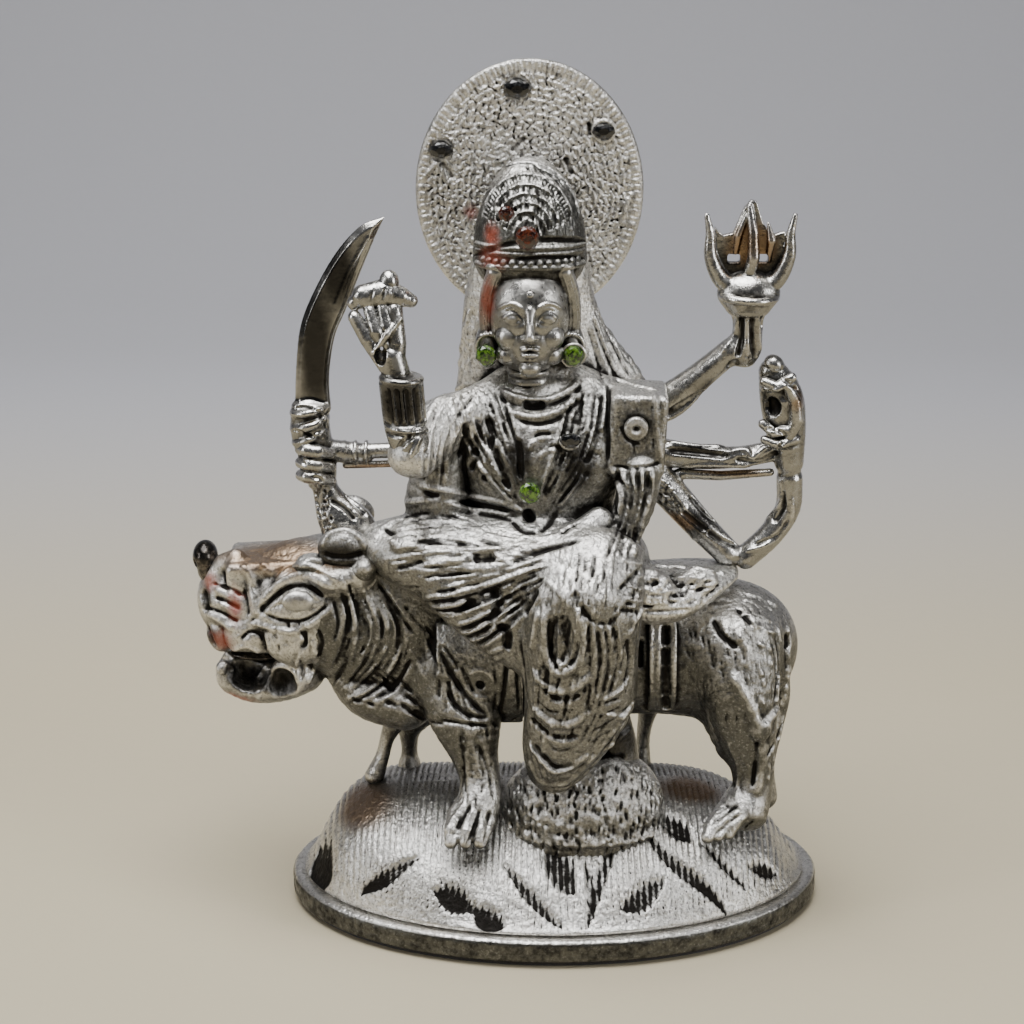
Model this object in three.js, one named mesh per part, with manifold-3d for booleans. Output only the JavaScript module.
// A cast silver-plated statuette of a many-armed goddess seated sideways on a tiger, on an oval mound base.
// Millimetres, +Z up, the statue faces -Y. The origin is the centre of the underside of the base.
import * as THREE from "three";
import { mergeVertices } from "three/addons/utils/BufferGeometryUtils.js";
import Module from "manifold-3d";

// Driving dimensions.
const BASE_LONG = 66.6; // half length of the oval plinth, along X
const BASE_SHORT = 44; // half depth of the oval plinth, along Y
const FELT_THICK = 1.2;
const PLINTH_TOP = 7.2;
const MOUND_TOP = 31;
const MOUND_INSET = 3.2; // smooth rim left bare round the mound
const TOTAL_HEIGHT = 210;
const HALO_WIDE = 27.3; // half width of the oval halo
const HALO_HIGH = 31.4; // half height of the oval halo
const HALO_THICK = 2.4;
const FACE_X = -6.5; // the goddess's head, crown and halo share this centre
const HALO_Y = 12;
const CLOTH_THICK = 2; // saddle cloth and girth strap over the tiger's sides
const STONE_DEPTH = 1.6;
const GAP = 0.3; // clearance between soldered castings

const wasm = await Module();
wasm.setup();

const METAL = { color: 0xc9c6bf, roughness: 0.3, metalness: 1 };
const DARK_METAL = { color: 0x3a3835, roughness: 0.35, metalness: 0.9 };
const RED_STONE = { color: 0x3a0f08, roughness: 0.1, metalness: 0 };
const GREEN_STONE = { color: 0x3f6b12, roughness: 0.1, metalness: 0 };
const BLACK_STONE = { color: 0x0c0c0d, roughness: 0.12, metalness: 0 };
const FELT = { color: 0x2c2a2b, roughness: 0.95, metalness: 0 };

function solidOf(geometry) {
  const bare = geometry.clone();
  bare.deleteAttribute("normal");
  bare.deleteAttribute("uv");
  const merged = mergeVertices(bare, 1e-4);
  const solid = new wasm.Manifold(
    new wasm.Mesh({
      numProp: 3,
      vertProperties: merged.attributes.position.array,
      triVerts: new Uint32Array(merged.index.array),
    }),
  );
  return solid;
}

function geometryOf(solid) {
  const { vertProperties, triVerts, numProp, numVert } = solid.getMesh();
  const position = new Float32Array(numVert * 3);
  for (let i = 0; i < numVert; i++) {
    position.set(vertProperties.subarray(i * numProp, i * numProp + 3), i * 3);
  }
  const geometry = new THREE.BufferGeometry();
  geometry.setAttribute("position", new THREE.BufferAttribute(position, 3));
  geometry.setIndex(new THREE.BufferAttribute(triVerts, 1));
  geometry.computeVertexNormals();
  return geometry;
}

// Closes a stack of rings, each a list of points, into one skin with a point at each end.
function skin(rings, first, last) {
  const sides = rings[0].length;
  const points = [first, ...rings.flat(), last];
  const faces = [];
  const end = points.length - 1;
  const at = (ring, i) => 1 + ring * sides + (i % sides);
  for (let i = 0; i < sides; i++) {
    faces.push(0, at(0, i + 1), at(0, i));
    faces.push(end, at(rings.length - 1, i), at(rings.length - 1, i + 1));
    for (let ring = 0; ring + 1 < rings.length; ring++) {
      faces.push(at(ring, i), at(ring, i + 1), at(ring + 1, i));
      faces.push(at(ring, i + 1), at(ring + 1, i + 1), at(ring + 1, i));
    }
  }
  const geometry = new THREE.BufferGeometry().setFromPoints(points);
  geometry.setIndex(faces);
  return solidOf(geometry);
}

// A smooth closed limb through stations [x, y, z, across, along]. "along" is the half size in the
// direction of "up", and "across" is the half size square to it. Both ends are rounded. Sections
// are square to the path, or all square to "facing" where a wide piece bends too fast for that.
function limb(stations, { up, facing, sides = 10, steps = 0, grow = 0, round = 0.6 }) {
  const path = new THREE.CatmullRomCurve3(stations.map((s) => new THREE.Vector3(s[0], s[1], s[2])));
  const size = new THREE.CatmullRomCurve3(stations.map((s) => new THREE.Vector3(s[3], s[4], 0)));
  const count = steps || Math.max(3, Math.round(stations.length * 1.5));
  const upward = new THREE.Vector3(...up);
  const rings = [];
  const frameAt = (t) => {
    const tangent = facing ? new THREE.Vector3(...facing) : path.getTangent(t);
    const side = new THREE.Vector3().crossVectors(upward, tangent).normalize();
    const top = new THREE.Vector3().crossVectors(tangent, side);
    return { centre: path.getPoint(t), tangent, side, top, half: size.getPoint(t) };
  };
  const ringOf = (f, scale, shift) => {
    const ring = [];
    for (let i = 0; i < sides; i++) {
      const angle = (2 * Math.PI * (i + 0.5)) / sides;
      const point = f.centre.clone().addScaledVector(f.tangent, shift);
      point.addScaledVector(f.side, (f.half.x + grow) * scale * Math.cos(angle));
      point.addScaledVector(f.top, (f.half.y + grow) * scale * Math.sin(angle));
      ring.push(point);
    }
    return ring;
  };
  const start = frameAt(0);
  const finish = frameAt(1);
  const reach = (f) => round * Math.min(f.half.x, f.half.y) + grow;
  rings.push(ringOf(start, 0.72, -0.7 * reach(start)));
  for (let i = 0; i <= count; i++) rings.push(ringOf(frameAt(i / count), 1, 0));
  rings.push(ringOf(finish, 0.72, 0.7 * reach(finish)));
  const first = start.centre.clone().addScaledVector(start.tangent, -reach(start));
  const last = finish.centre.clone().addScaledVector(finish.tangent, reach(finish));
  return skin(rings, first, last);
}

function ball([x, y, z], [rx, ry, rz], { grow = 0, wide = 12, high = 8 } = {}) {
  const geometry = new THREE.SphereGeometry(1, wide, high);
  geometry.scale(rx + grow, ry + grow, rz + grow);
  geometry.translate(x, y, z);
  return solidOf(geometry);
}

function block([x, y, z], [dx, dy, dz], grow = 0) {
  const geometry = new THREE.BoxGeometry(dx + 2 * grow, dy + 2 * grow, dz + 2 * grow);
  geometry.translate(x, y, z);
  return solidOf(geometry);
}

// A round disc that faces -Y, centred at [x, y, z].
function disc([x, y, z], radius, thick, { grow = 0, sides = 16 } = {}) {
  const geometry = new THREE.CylinderGeometry(radius + grow, radius + grow, thick + 2 * grow, sides);
  geometry.translate(x, y, z);
  return solidOf(geometry);
}

// A plate of the given outline in X and Z, centred on y.
function plate(outline, y, thick, grow = 0) {
  const geometry = new THREE.ExtrudeGeometry(new THREE.Shape(outline), {
    depth: thick + 2 * grow,
    bevelEnabled: false,
  });
  geometry.rotateX(Math.PI / 2);
  geometry.translate(0, y + thick / 2 + grow, 0);
  return solidOf(geometry);
}

const OVAL_SIDES = 40;

function ovalRing(inset, z) {
  const ring = [];
  for (let i = 0; i < OVAL_SIDES; i++) {
    const angle = (2 * Math.PI * i) / OVAL_SIDES;
    const x = (BASE_LONG - inset) * Math.cos(angle);
    const y = (BASE_SHORT - inset) * Math.sin(angle);
    ring.push(new THREE.Vector3(x, y, z));
  }
  return ring;
}

// A solid oval from a stack of [inset, z] steps, lowest first.
function oval(stack) {
  const low = stack[0][1];
  const high = stack[stack.length - 1][1];
  const rings = stack.map(([inset, z]) => ovalRing(inset, z));
  return skin(rings, new THREE.Vector3(0, 0, low), new THREE.Vector3(0, 0, high));
}

function moundHeight(x, y, long, short) {
  const fall = Math.abs(x / long) ** (x < 0 ? 9 : 5) + Math.abs(y / short) ** 2.2;
  return Math.max(0, 1 - Math.min(1, fall));
}

// The domed top of the base, its edge inset from the plinth, from the plinth up to the given peak.
function dome(inset, floor, peak, rings) {
  const long = BASE_LONG - inset;
  const short = BASE_SHORT - inset;
  const stack = [];
  for (let k = 0; k < rings; k++) {
    const share = 1 - (k / rings) ** 1.4;
    const ring = ovalRing(0, 0).map((p) => {
      const x = (p.x / BASE_LONG) * long * share;
      const y = (p.y / BASE_SHORT) * short * share;
      const rise = k ? moundHeight(x, y, long, short) : 0;
      return new THREE.Vector3(x, y, floor + 0.8 + (peak - floor - 0.8) * rise);
    });
    stack.push(ring);
  }
  const foot = stack[0].map((p) => new THREE.Vector3(p.x, p.y, floor));
  const top = new THREE.Vector3(0, 0, peak);
  return skin([foot, ...stack], new THREE.Vector3(0, 0, floor), top);
}

// --- The base ---

function feltPad(grow) {
  return oval([
    [2 - grow, 0],
    [2 - grow, FELT_THICK + grow],
  ]);
}

function basePlinth(grow) {
  const low = FELT_THICK + GAP;
  return oval([
    [0.6 - grow, low - grow],
    [-grow, low + 0.8],
    [-grow, PLINTH_TOP - 1.6],
    [1 - grow, PLINTH_TOP + grow],
  ]);
}

const baseMound = (grow) => dome(MOUND_INSET - grow, PLINTH_TOP + GAP - grow, MOUND_TOP + grow, 8);

const footLotus = (grow) =>
  limb(
    [
      [7, -13, 25, 15, 21],
      [7, -13, 30, 13, 20],
      [8, -13, 34.5, 10, 17],
      [9, -13, 38, 6, 12.5],
    ],
    { up: [1, 0, 0], facing: [0, 0, 1], sides: 20, grow, round: 0.2 },
  );

// --- The tiger ---

const ALONG_X = { up: [0, 0, 1] };
const UPRIGHT = { up: [1, 0, 0] };
const LEVEL = { up: [1, 0, 0], facing: [0, 0, 1] }; // for wide pieces that rise
const LEVEL_DOWN = { up: [1, 0, 0], facing: [0, 0, -1] }; // for wide pieces that hang
const FACING_TAIL = { up: [0, 0, 1], facing: [1, 0, 0] };
const FACING_NOSE = { up: [0, 0, 1], facing: [-1, 0, 0] };

const tigerBody = (grow) =>
  limb(
    [
      [-38, 0, 66, 10, 12],
      [-31, 0, 66, 16, 17.5],
      [-15, 0, 66.5, 18, 18.5],
      [5, 0, 67, 17.5, 18.5],
      [25, 0, 67.5, 17, 18.5],
      [38, 0, 66.5, 17, 18.5],
      [46, 0, 67, 15, 16.5],
      [51, 0, 67.5, 11, 12],
    ],
    { ...FACING_TAIL, sides: 16, grow },
  );

function tigerMane(grow) {
  const ruff = limb(
    [
      [-34, -1, 74, 15, 18],
      [-42, -2, 76, 17, 20.5],
      [-50, -3, 78, 16.5, 19.5],
      [-54, -3, 79, 15.5, 18],
    ],
    { ...FACING_NOSE, sides: 14, grow, round: 0.2 },
  );
  const chest = limb(
    [
      [-52, -4, 63.5, 9.5, 6],
      [-46, -5, 58, 11.5, 8],
      [-37.5, -4, 55.5, 13.5, 9],
    ],
    { ...FACING_TAIL, sides: 12, grow },
  );
  return ruff.add(chest);
}

const tigerHead = (grow) =>
  limb(
    [
      [-54, -3, 80, 14.5, 15.5],
      [-61, -4, 81, 15, 15.5],
      [-69, -4, 81, 13, 14],
      [-77, -4, 81, 10.5, 13.5],
      [-84, -4, 80, 9.5, 12],
    ],
    { ...FACING_NOSE, sides: 14, grow, round: 0.35 },
  );

const tigerJaw = (grow) =>
  limb(
    [
      [-60, -4, 62, 9, 5],
      [-67, -4, 60, 9.5, 6],
      [-75, -4, 59, 9, 6],
      [-81, -4, 60.5, 7, 5.5],
    ],
    { ...FACING_NOSE, grow, round: 0.4 },
  );

const tigerTongue = (grow) =>
  limb(
    [
      [-66, -4, 66.5, 5, 1.6],
      [-73, -4, 66.5, 5, 1.6],
      [-80, -4, 66, 4, 1.4],
    ],
    { ...ALONG_X, sides: 8, grow },
  );

const tigerNose = (grow) => ball([-85.5, -4, 91.5], [3.2, 4.6, 4.2], { grow, wide: 10, high: 6 });
const tigerEar = (y, grow = 0) => ball([-51, y, 98], [6, 2.8, 5.6], { grow, wide: 10, high: 6 });
const tigerEye = (y, grow = 0) => ball([-62, y, 85], [4, 1.8, 2.8], { grow, wide: 10, high: 6 });

const LEGS = {
  tiger_foreleg_near: [
    [-24.5, -11, 65.5, 8, 13],
    [-22, -15, 54, 7.5, 9.5],
    [-20, -17, 45.5, 6, 6.5],
    [-18.5, -19, 38.5, 5.5, 5.5],
    [-19, -22, 33, 6, 6],
    [-22, -27, 28, 4.5, 6],
  ],
  tiger_foreleg_far: [
    [-32, 8, 51.5, 7, 9],
    [-36.5, 11, 41.5, 5.5, 4],
    [-37, 12, 33.5, 4.5, 2.2],
    [-37, 11, 28.5, 5, 3.4],
  ],
  chest_tassel: [
    [-39, 2, 48, 4, 4],
    [-42, 3, 41, 3, 2],
    [-43.5, 3, 35.5, 2.8, 1.8],
    [-45.5, 2, 30.5, 3.4, 2.6],
  ],
  tiger_hindleg_near: [
    [43, -10, 72, 8.5, 12.5],
    [45, -14, 60.5, 8, 10],
    [47.5, -15, 50, 6.5, 8],
    [48.5, -14, 40.5, 5.5, 6],
    [48.5, -15, 34, 5.5, 5.5],
    [46, -18, 29.5, 6, 7],
    [41, -21, 26, 4.5, 6.5],
  ],
  tiger_hindleg_far: [
    [27.5, 8, 59.5, 8, 8],
    [24.5, 11, 47.5, 6, 3.2],
    [23, 12, 37.5, 4.5, 1.8],
    [23, 12, 27.5, 4.5, 2.4],
  ],
};

const leg = (name) => (grow) => limb(LEGS[name], { ...UPRIGHT, grow });

// The far front leg, with the tassel that hangs beside it from the chest to the ground.
const forelegFar = (grow) => leg("tiger_foreleg_far")(grow).add(leg("chest_tassel")(grow));

// The near hind leg, with the fold of skin that runs from its knee to the belly.
const hindLegNear = (grow) =>
  leg("tiger_hindleg_near")(grow).add(
    limb(
      [
        [39.5, -8, 55, 5, 6],
        [43, -11, 44.5, 4, 4],
      ],
      { ...LEVEL_DOWN, grow },
    ),
  );

const tigerTail = (grow) =>
  limb(
    [
      [51.5, 2, 73.5, 3, 3],
      [54.6, 3, 64, 3.2, 3],
      [56.3, 2, 54, 3.2, 3],
      [55, 1, 46, 3.4, 3],
      [52.4, -1, 35, 3.4, 3.2],
      [53, -1, 26, 3.8, 4],
    ],
    { ...UPRIGHT, sides: 8, grow },
  );

// Cloth that lies on the tiger's flank between two heights and two stations along its body.
const flankCloth = ([x0, x1], [z0, z1], side) => (grow) => {
  const shell = tigerBody(GAP + CLOTH_THICK + grow).subtract(tigerBody(GAP));
  const reach = 60;
  const centre = [(x0 + x1) / 2, (side * reach) / 2, (z0 + z1) / 2];
  return shell.intersect(block(centre, [x1 - x0, reach, z1 - z0], grow));
};

const seatCloth = (grow) =>
  limb(
    [
      [16.5, -12, 85, 12, 7],
      [25.5, -8, 84, 16, 7.4],
      [32.5, -6, 85, 16, 6],
      [39.5, -5, 87.5, 11, 3.6],
    ],
    { ...FACING_TAIL, sides: 12, grow, round: 0.4 },
  );

// --- The goddess ---

function lapDrapery(grow) {
  const lap = limb(
    [
      [-41, -12, 97, 8.5, 6.5],
      [-33, -12, 95, 13, 10],
      [-20, -11, 93, 16, 12.5],
      [-4, -11, 93, 18, 13],
      [8, -10, 93, 16, 12],
      [14, -9, 92, 12, 9],
    ],
    { ...FACING_TAIL, sides: 14, grow },
  );
  const fall = limb(
    [
      [-30, -17, 94, 9, 7],
      [-22, -19.5, 88, 8, 10],
      [-12, -22, 82, 7, 12],
      [-3, -23.5, 75, 6, 10],
    ],
    { ...FACING_TAIL, grow },
  );
  return lap.add(fall);
}

const hangingDrapery = (grow) =>
  limb(
    [
      [9, -20, 98, 9, 12],
      [6.5, -27, 88.5, 10.5, 14.5],
      [5.5, -27, 76, 10, 14.5],
      [5.5, -25, 62, 9, 13.6],
      [1.8, -22, 49, 8, 10.3],
      [-0.8, -19, 40, 6, 6],
    ],
    { ...LEVEL_DOWN, sides: 16, grow, round: 0.3 },
  );

const leftFoot = (grow) =>
  limb(
    [
      [14, -12, 51, 5, 5],
      [15, -11, 44.5, 6, 5.6],
      [13.5, -11, 38, 6, 8],
    ],
    { ...LEVEL_DOWN, sides: 10, grow },
  );

function torso(grow) {
  const chest = limb(
    [
      [-4, -5, 98, 10.5, 19],
      [-4, -6, 108, 11, 18.5],
      [-3, -7, 118, 11.5, 21],
      [-1.5, -4, 127, 10.5, 23.5],
      [-2.5, -2, 132, 8.5, 17],
      [-4, -2, 136, 6.5, 9],
    ],
    { ...LEVEL, sides: 14, grow },
  );
  const rightSleeve = limb(
    [
      [-26.5, -8, 126, 5.5, 5],
      [-28, -9, 117, 6, 6.5],
      [-29, -9, 107.5, 7, 8],
    ],
    { ...LEVEL_DOWN, grow },
  );
  return chest.add(rightSleeve);
}

const leftSleeve = (grow) => block([19, -7, 125], [14, 17, 20.5], grow);
// The end of the sleeve hangs in folds from the cuff to the seat.
const sleeveFall = (grow) =>
  limb(
    [
      [20, -12, 116, 6, 5.5],
      [18.5, -13, 107.5, 5.5, 5.2],
      [15, -13, 97.5, 5, 4.6],
      [14.5, -13, 89.5, 5, 5],
    ],
    { ...LEVEL_DOWN, sides: 10, grow, round: 0.3 },
  );

const sleeveBoss = (grow) => disc([18.5, -16.9, 127.5], 3.4, 2, { grow });

const veil = (grow) =>
  limb(
    [
      [FACE_X, 4, 164, 7, 14],
      [FACE_X, 5, 154, 8, 16],
      [-5, 6, 144, 8.5, 18.5],
      [-1.5, 7, 134, 8, 23],
      [-0.5, 9, 124, 6.5, 25],
      [-0.5, 11, 108, 6, 23],
      [0, 11, 95, 6.5, 22],
    ],
    { ...LEVEL_DOWN, sides: 14, grow },
  );

// The head with its chin, neck and the two long ear lobes that carry the earrings.
function head(grow) {
  const skull = ball([FACE_X, -6, 153], [11.3, 11, 13.5], { grow, wide: 16, high: 10 });
  const chin = ball([FACE_X, -10.5, 144], [5.6, 5.4, 5], { grow, wide: 10, high: 6 });
  const neck = limb(
    [
      [FACE_X, -4, 134, 6, 6],
      [FACE_X, -4, 145, 5.6, 5.6],
    ],
    { ...LEVEL, grow },
  );
  const lobes = [-1, 1].map((side) =>
    ball([FACE_X + 10 * side, -5.5, 145], [3.2, 5, 6], { grow, wide: 8, high: 6 }),
  );
  return skull.add(chin).add(neck).add(lobes[0]).add(lobes[1]);
}

const crown = (grow) =>
  limb(
    [
      [FACE_X, -2, 165, 12, 14],
      [FACE_X, -2, 171, 11.5, 13.5],
      [FACE_X, 0, 178, 9, 11.5],
      [FACE_X, 3, 184, 6, 8],
      [FACE_X, 5, 187, 4, 5],
    ],
    { ...LEVEL, sides: 14, grow, round: 0.3 },
  );

// The halo is a flat oval plate inside a thick round rim.
const HALO_Z = TOTAL_HEIGHT - HALO_HIGH;
const HALO_RIM = 3.4;

function haloPlate(grow) {
  const radius = HALO_WIDE - HALO_RIM + grow;
  const geometry = new THREE.CylinderGeometry(radius, radius, HALO_THICK + 2 * grow, 40);
  geometry.scale(1, 1, (HALO_HIGH - HALO_RIM) / (HALO_WIDE - HALO_RIM));
  geometry.translate(FACE_X, HALO_Y, HALO_Z);
  return solidOf(geometry);
}

function haloRim(grow) {
  const path = [];
  for (let i = 0; i < 48; i++) {
    const angle = (2 * Math.PI * i) / 48;
    const x = FACE_X + (HALO_WIDE - HALO_RIM / 2) * Math.cos(angle);
    const z = HALO_Z + (HALO_HIGH - HALO_RIM / 2) * Math.sin(angle);
    path.push(new THREE.Vector3(x, HALO_Y, z));
  }
  const section = new THREE.Shape();
  section.absarc(0, 0, HALO_RIM / 2 + grow, 0, 2 * Math.PI);
  const geometry = new THREE.ExtrudeGeometry(section, {
    extrudePath: new THREE.CatmullRomCurve3(path, true),
    steps: 48,
    curveSegments: 4,
  });
  return solidOf(geometry);
}

// A faceted glass stone set into a surface that faces -Y.
const stone = (x, y, z, radius) => (grow) =>
  ball([x, y, z], [radius, STONE_DEPTH, radius * 1.1], { grow, wide: 10, high: 6 });

// --- Her arms and what they hold ---

const rightUpperArm = (grow) =>
  limb(
    [
      [-19, -5, 128, 6.5, 6.5],
      [-28, -11, 126.5, 6.6, 7],
      [-33.5, -18, 122, 6, 6.8],
    ],
    { ...ALONG_X, grow },
  );

const rightBangles = (grow) =>
  limb(
    [
      [-34, -20, 123.5, 5.4, 5],
      [-35.5, -20, 129.5, 5.4, 5.6],
      [-36.5, -20, 140, 5.2, 5.6],
    ],
    { ...UPRIGHT, sides: 12, grow, round: 0.15 },
  );

const rightHand = (grow) =>
  limb(
    [
      [-38.5, -20, 143.5, 3.4, 3.6],
      [-40, -19, 148.5, 3.4, 4.6],
      [-42.5, -18, 154, 3.2, 6],
      [-43.5, -17.5, 158, 2.8, 6],
    ],
    { ...UPRIGHT, grow, round: 0.3 },
  );

const handFlower = (grow) =>
  limb(
    [
      [-47.5, -17.5, 159.5, 1.8, 1.8],
      [-41.5, -17.5, 161.5, 3, 3],
      [-34, -17.5, 159.5, 1.6, 1.6],
    ],
    { ...ALONG_X, sides: 8, grow },
  ).add(ball([-39, -17.5, 163.5], [2.2, 2.2, 2.6], { grow, wide: 8, high: 6 }));

function swordBlade(grow) {
  const back = [[-62.5, 128], [-62, 139], [-60.5, 149], [-56.5, 158], [-51.5, 166.5], [-46, 172.5]];
  const edge = [[-43.5, 169.5], [-47, 161.5], [-50.5, 153], [-53.5, 146], [-55, 136], [-54.5, 128]];
  const tip = [[-41, 174.5]];
  const curve = (points) =>
    new THREE.CatmullRomCurve3(points.map(([x, z]) => new THREE.Vector3(x, z, 0))).getPoints(10);
  const outline = [...curve([...back, ...tip]), ...curve([...tip, ...edge]).slice(1)];
  const flat = outline.map((p) => new THREE.Vector2(p.x, p.y));
  return plate(flat, -1.5, 3, grow);
}

const swordHand = (grow) =>
  limb(
    [
      [-59.5, -1.5, 129, 3.8, 4.8],
      [-59.5, -1.5, 122, 4.6, 5.2],
      [-57.5, -1, 114.5, 4, 4.6],
      [-57, -1, 109, 3.6, 3.8],
    ],
    { ...UPRIGHT, grow, round: 0.3 },
  );

const swordArm = (grow) =>
  limb(
    [
      [-54.5, -1, 117.5, 3, 3],
      [-49.5, 0, 116.5, 2.9, 3],
      [-41.5, 1, 116, 2.5, 2.5],
      [-28, 3, 116, 2.5, 2.5],
      [-22, 4, 116.5, 3.4, 3.4],
    ],
    { ...ALONG_X, sides: 10, grow },
  );

const lowerRightArm = (grow) =>
  limb(
    [
      [-56, -1, 107.5, 3.4, 3.4],
      [-54.5, -1.5, 104.5, 3.6, 4.6],
      [-51.5, -3, 101, 4, 7],
      [-50, -4, 97.5, 4, 7.5],
    ],
    { ...LEVEL_DOWN, sides: 10, grow },
  );

const tridentArmUpper = (grow) =>
  limb(
    [
      [22, 3, 126.5, 4, 4.6],
      [28, 2, 129.5, 3.6, 4.4],
      [34.5, 1, 135.5, 3.3, 3.2],
      [41, 0, 141.5, 3.2, 3],
    ],
    { ...ALONG_X, sides: 10, grow },
  );

const tridentArmFore = (grow) =>
  limb(
    [
      [45.6, 0, 138.8, 1.6, 2],
      [45, 0, 142, 3.6, 4.4],
      [45.5, 0, 146.5, 3.4, 4],
      [45.5, 0, 152.5, 3.4, 4.2],
    ],
    { ...UPRIGHT, sides: 10, grow, round: 0.3 },
  );

// A trident head: a crescent whose horns rise on either side of a flame-shaped middle prong.
function trident(grow) {
  const base = limb(
    [
      [45.5, 0, 154.5, 4, 4.4],
      [45.5, 0, 156.5, 6, 8.4],
      [45.5, 0, 158.5, 5, 7],
    ],
    { ...LEVEL, sides: 14, grow, round: 0.15 },
  );
  const horn = (side) =>
    limb(
      [
        [45.4, 0, 158.5, 3.4, 3],
        [45.4 + 6.4 * side, 0, 160.5, 3.4, 2.4],
        [45.4 + 9.2 * side, 0, 166, 2.6, 1.8],
        [45.4 + 9.4 * side, 0, 171, 1.8, 1.4],
        [45.4 + 10.4 * side, 0, 175, 0.7, 0.6],
      ],
      { up: [0, 1, 0], sides: 8, grow, round: 0.4 },
    );
  const middle = limb(
    [
      [45.4, 0, 158, 2.2, 3],
      [45.4, 0, 164, 2.2, 3.4],
      [45.4, 0, 171, 1.8, 2.6],
      [45.4, 0, 177, 0.6, 0.7],
    ],
    { ...LEVEL, sides: 8, grow, round: 0.4 },
  );
  return base.add(horn(-1)).add(horn(1)).add(middle);
}

const middleLeftArm = (grow) =>
  limb(
    [
      [24, 3, 116, 4, 4],
      [35, 1.5, 115, 3, 3.4],
      [44.5, 0, 115.5, 2.9, 2.9],
      [52.5, 0, 117, 2.9, 2.9],
    ],
    { ...ALONG_X, sides: 8, grow },
  );

const conchHand = (grow) =>
  limb(
    [
      [56.5, 0, 114.5, 3.8, 3.4],
      [55.5, 0, 123.5, 4.2, 4.8],
      [54, 0, 131, 4.4, 5],
      [51.5, 0, 137.5, 3, 3],
    ],
    { ...UPRIGHT, sides: 10, grow, round: 0.4 },
  );

const lowerLeftArm = (grow) =>
  limb(
    [
      [21, 2, 113, 4.5, 4.5],
      [27.5, 1, 106.5, 4.2, 4.6],
      [35, -1, 98.5, 3.8, 4],
      [42, -2, 91.5, 3.6, 3.6],
    ],
    { ...ALONG_X, sides: 10, grow },
  );

const loopArm = (grow) =>
  limb(
    [
      [46.5, -2, 90.5, 3, 3],
      [52.5, -1, 96, 3, 3],
      [56.5, 0, 102.5, 2.9, 2.9],
      [56.5, 0, 110, 2.9, 2.9],
    ],
    { up: [0, 1, 0], sides: 8, grow, round: 0.5 },
  );

const leftForearm = (grow) =>
  limb(
    [
      [10, -16, 104.5, 3.6, 3.6],
      [4, -20, 101.5, 3.6, 3.6],
      [-3, -22, 98.5, 3, 3.4],
      [-9, -23, 97, 2.2, 3.2],
    ],
    { up: [0.3, 1, 0.2], sides: 8, grow },
  );

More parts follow.
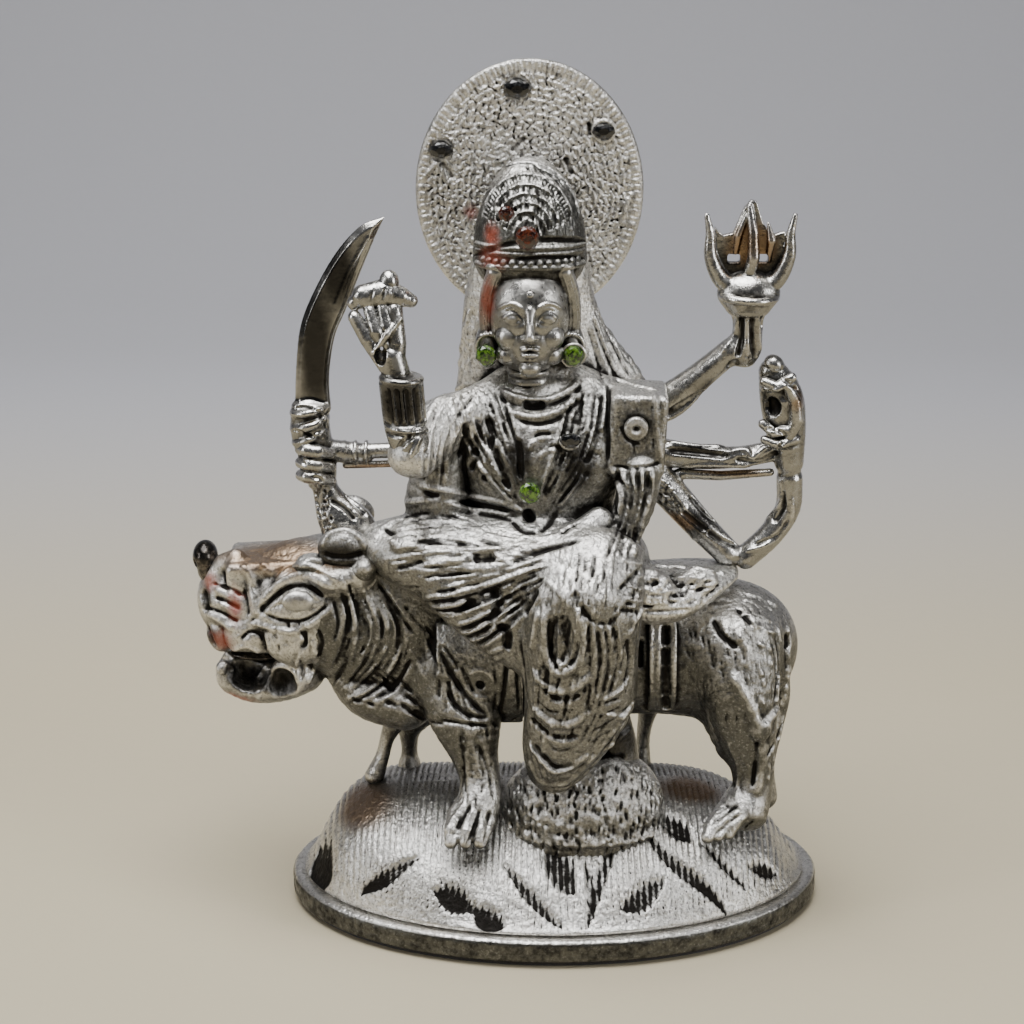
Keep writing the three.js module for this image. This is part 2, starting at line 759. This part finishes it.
// Every casting in the order in which the statue is built up. A later piece is cut clear of an
// earlier one that it meets, with the clearance GAP between them.
const PIECES = [
  ["felt_pad", feltPad, FELT],
  ["base_plinth", basePlinth, METAL],
  ["base_mound", baseMound, METAL],
  ["foot_lotus", footLotus, METAL],
  ["tiger_body", tigerBody, METAL],
  ["tiger_foreleg_near", leg("tiger_foreleg_near"), METAL],
  ["tiger_foreleg_far", forelegFar, METAL],
  ["tiger_hindleg_near", hindLegNear, METAL],
  ["tiger_hindleg_far", leg("tiger_hindleg_far"), METAL],
  ["tiger_tail", tigerTail, METAL],
  ["tiger_mane", tigerMane, METAL],
  ["tiger_nose", tigerNose, DARK_METAL],
  ["tiger_eye_near", (grow) => tigerEye(-18.4, grow), METAL],
  ["tiger_eye_far", (grow) => tigerEye(10.4, grow), METAL],
  ["tiger_head", tigerHead, METAL],
  ["tiger_jaw", tigerJaw, METAL],
  ["tiger_tongue", tigerTongue, DARK_METAL],
  ["tiger_ear_near", (grow) => tigerEar(-13, grow), METAL],
  ["tiger_ear_far", (grow) => tigerEar(8, grow), METAL],
  ["saddle_cloth_near", flankCloth([-29, -8], [51, 78], -1), METAL],
  ["saddle_cloth_far", flankCloth([-29, 20], [54, 80], 1), METAL],
  ["left_foot", leftFoot, METAL],
  ["hanging_drapery", hangingDrapery, METAL],
  ["lap_drapery", lapDrapery, METAL],
  ["seat_cloth", seatCloth, METAL],
  ["girth_strap", flankCloth([22.5, 29], [55, 80], -1), METAL],
  ["left_sleeve", leftSleeve, METAL],
  ["sleeve_fall", sleeveFall, METAL],
  ["sleeve_boss", sleeveBoss, METAL],
  ["left_forearm", leftForearm, METAL],
  ["pendant_stone", stone(-6.5, -19.2, 112.5, 2.6), GREEN_STONE],
  ["chest_stone", stone(3, -17.6, 125, 2), BLACK_STONE],
  ["torso", torso, METAL],
  ["crown_stone_large", stone(-7.2, -14.6, 172.6, 2.8), RED_STONE],
  ["crown_stone_small", stone(-12, -9.2, 177, 2), BLACK_STONE],
  ["earring_stone_right", stone(-16.8, -10.6, 143.6, 2.5), GREEN_STONE],
  ["earring_stone_left", stone(3.8, -10.6, 143.6, 2.5), GREEN_STONE],
  ["head", head, METAL],
  ["crown", crown, METAL],
  ["halo_stone_top", stone(-9.5, 10.6, 203, 2.6), BLACK_STONE],
  ["halo_stone_right", stone(-27.5, 10.6, 188.5, 2.2), BLACK_STONE],
  ["halo_stone_left", stone(11, 10.6, 193, 2.2), BLACK_STONE],
  ["halo_plate", haloPlate, METAL],
  ["halo_rim", haloRim, METAL],
  ["veil", veil, METAL],
  ["right_upper_arm", rightUpperArm, METAL],
  ["right_bangles", rightBangles, METAL],
  ["right_hand", rightHand, METAL],
  ["hand_flower", handFlower, METAL],
  ["sword_hand", swordHand, METAL],
  ["sword_blade", swordBlade, METAL],
  ["sword_arm", swordArm, METAL],
  ["lower_right_arm", lowerRightArm, METAL],
  ["trident_arm_upper", tridentArmUpper, METAL],
  ["trident_arm_fore", tridentArmFore, METAL],
  ["trident_head", trident, METAL],
  ["middle_left_arm", middleLeftArm, METAL],
  ["conch_hand", conchHand, METAL],
  ["lower_left_arm", lowerLeftArm, METAL],
  ["loop_arm", loopArm, METAL],
];

function largestBody(solid) {
  return solid.decompose().reduce((a, b) => (b.volume() > a.volume() ? b : a));
}

function meets(a, b) {
  const p = a.boundingBox();
  const q = b.boundingBox();
  return [0, 1, 2].every((i) => p.min[i] < q.max[i] && q.min[i] < p.max[i]);
}

const statue = new THREE.Group();
statue.name = "goddess_statuette";
const placed = [];
for (const [name, make, finish, outline = make] of PIECES) {
  let solid = make(0);
  for (const grown of placed) {
    if (meets(solid, grown)) solid = solid.subtract(grown);
  }
  placed.push(outline(GAP));
  const mesh = new THREE.Mesh(geometryOf(largestBody(solid)), new THREE.MeshStandardMaterial(finish));
  mesh.name = name;
  statue.add(mesh);
}

export default statue;
